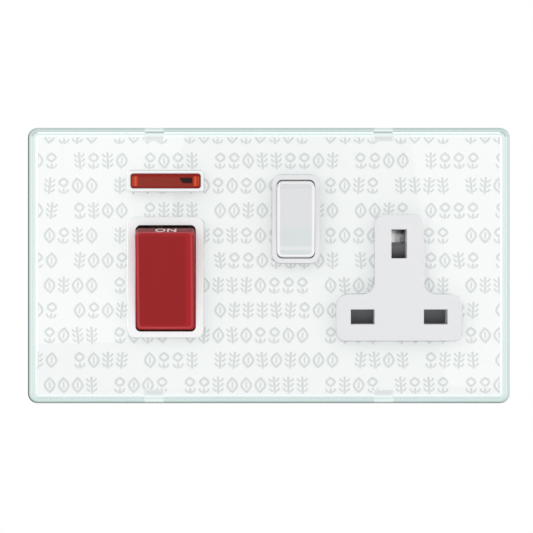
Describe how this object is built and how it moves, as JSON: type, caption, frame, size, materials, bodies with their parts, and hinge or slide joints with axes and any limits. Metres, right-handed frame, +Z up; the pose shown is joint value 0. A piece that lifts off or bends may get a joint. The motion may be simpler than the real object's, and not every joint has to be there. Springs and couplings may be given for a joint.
{
  "type": "cooker control unit",
  "caption": "Flush wall unit with a red double-pole rocker and neon lamp beside a switched three-pin socket, under a clear bevelled clip-on plate with a printed paper insert.",
  "frame": {"origin": "on the wall's surface, midway between the two box screws, which is also the middle of the plate", "axes": "+X to the right and +Z up as seen from the room, +Y into the wall, so the unit faces -Y"},
  "size_m": [0.147, 0.0404, 0.084],
  "materials": {
    "clear_plate": "clear polished sheet with a faint green edge",
    "paper_print": "white paper printed in pale grey",
    "zinc_steel": "zinc plated sheet steel",
    "screw_steel": "plated steel",
    "white_moulding": "smooth white moulded plastic",
    "red_moulding": "smooth deep red moulded plastic",
    "red_lens": "translucent orange-red plastic",
    "dark_moulding": "dark grey moulded plastic",
    "brass": "bright machined brass",
    "copper_alloy": "pressed copper alloy strip",
    "spring_steel": "bright spring wire",
    "lamp_glass": "clear lamp glass",
    "resistor_body": "lacquered resistor body"
  },
  "bodies": {
    "unit": {"support_frame": "zinc_steel", "box_screws": "screw_steel", "frame_earth_strap": "copper_alloy", "switch_cover": "white_moulding", "socket_cover": "white_moulding", "rear_housing": "white_moulding", "line_link": "copper_alloy", "neutral_link": "copper_alloy", "line_pin_contact": "copper_alloy", "neutral_pin_contact": "copper_alloy", "earth_pin_contact": "copper_alloy", "earth_terminal": "brass", "earth_terminal_screws": "screw_steel", "cooker_terminal_screws": "screw_steel", "shutter_spring": "spring_steel", "neon_lens": "red_lens", "neon_lamp": "lamp_glass", "neon_resistor": "resistor_body", "supply_neutral_terminal": "brass", "load_neutral_terminal": "brass", "supply_line_terminal": "brass", "load_line_terminal": "brass"},
    "front_plate": {"front_plate": "clear_plate", "wallpaper_insert": "paper_print"},
    "cooker_rocker": {"cooker_rocker": "red_moulding", "cooker_neutral_spring": "spring_steel", "cooker_line_spring": "spring_steel"},
    "cooker_neutral_plunger": {"cooker_neutral_plunger": "dark_moulding"},
    "cooker_line_plunger": {"cooker_line_plunger": "dark_moulding"},
    "cooker_neutral_seesaw": {"cooker_neutral_seesaw": "copper_alloy"},
    "cooker_line_seesaw": {"cooker_line_seesaw": "copper_alloy"},
    "socket_rocker": {"socket_rocker": "white_moulding", "socket_plunger_spring": "spring_steel"},
    "socket_plunger": {"socket_plunger": "dark_moulding"},
    "socket_seesaw": {"socket_seesaw": "copper_alloy"},
    "shutter": {"shutter": "dark_moulding"}
  },
  "joints": [
    {"name": "plate_lift_off", "type": "slide", "parent": "unit", "child": "front_plate", "axis": [0, -1, 0], "range_m": [0, 0.015]},
    {"name": "cooker_rocker_tilt", "type": "hinge", "parent": "unit", "child": "cooker_rocker", "pos_m": [-0.03135, -0.0034, -0.0039], "axis": [-1, 0, 0], "range_deg": [0, 18]},
    {"name": "cooker_neutral_contact", "type": "hinge", "parent": "unit", "child": "cooker_neutral_seesaw", "pos_m": [-0.03635, 0.01494, -0.0039], "axis": [-1, 0, 0], "range_deg": [-24, 0]},
    {"name": "cooker_line_contact", "type": "hinge", "parent": "unit", "child": "cooker_line_seesaw", "pos_m": [-0.02635, 0.01494, -0.0039], "axis": [-1, 0, 0], "range_deg": [-24, 0]},
    {"name": "cooker_neutral_plunger_slide", "type": "slide", "parent": "cooker_rocker", "child": "cooker_neutral_plunger", "axis": [0, -0.9877, -0.1564], "range_m": [0, 0.001], "stiffness_N_per_m": 400, "springref_m": -0.001, "deforming": ["cooker_neutral_spring"]},
    {"name": "cooker_line_plunger_slide", "type": "slide", "parent": "cooker_rocker", "child": "cooker_line_plunger", "axis": [0, -0.9877, -0.1564], "range_m": [0, 0.001], "stiffness_N_per_m": 400, "springref_m": -0.001, "deforming": ["cooker_line_spring"]},
    {"name": "socket_rocker_tilt", "type": "hinge", "parent": "unit", "child": "socket_rocker", "pos_m": [0.0082, -0.0036, 0.0141], "axis": [-1, 0, 0], "range_deg": [0, 16]},
    {"name": "socket_contact", "type": "hinge", "parent": "unit", "child": "socket_seesaw", "pos_m": [0.0082, 0.01233, 0.0141], "axis": [-1, 0, 0], "range_deg": [-28, 0]},
    {"name": "socket_plunger_slide", "type": "slide", "parent": "socket_rocker", "child": "socket_plunger", "axis": [0, -0.9903, -0.1392], "range_m": [0, 0.001], "stiffness_N_per_m": 400, "springref_m": -0.001, "deforming": ["socket_plunger_spring"]},
    {"name": "shutter_slide", "type": "slide", "parent": "unit", "child": "shutter", "axis": [0, 0, -1], "range_m": [0, 0.0059], "stiffness_N_per_m": 60, "springref_m": -0.002, "deforming": ["shutter_spring"]}
  ],
  "couplings": [
    {"joint": "cooker_neutral_contact", "follows": "cooker_rocker_tilt", "ratio": -1.3333},
    {"joint": "cooker_line_contact", "follows": "cooker_rocker_tilt", "ratio": -1.3333},
    {"joint": "socket_contact", "follows": "socket_rocker_tilt", "ratio": -1.75}
  ]
}
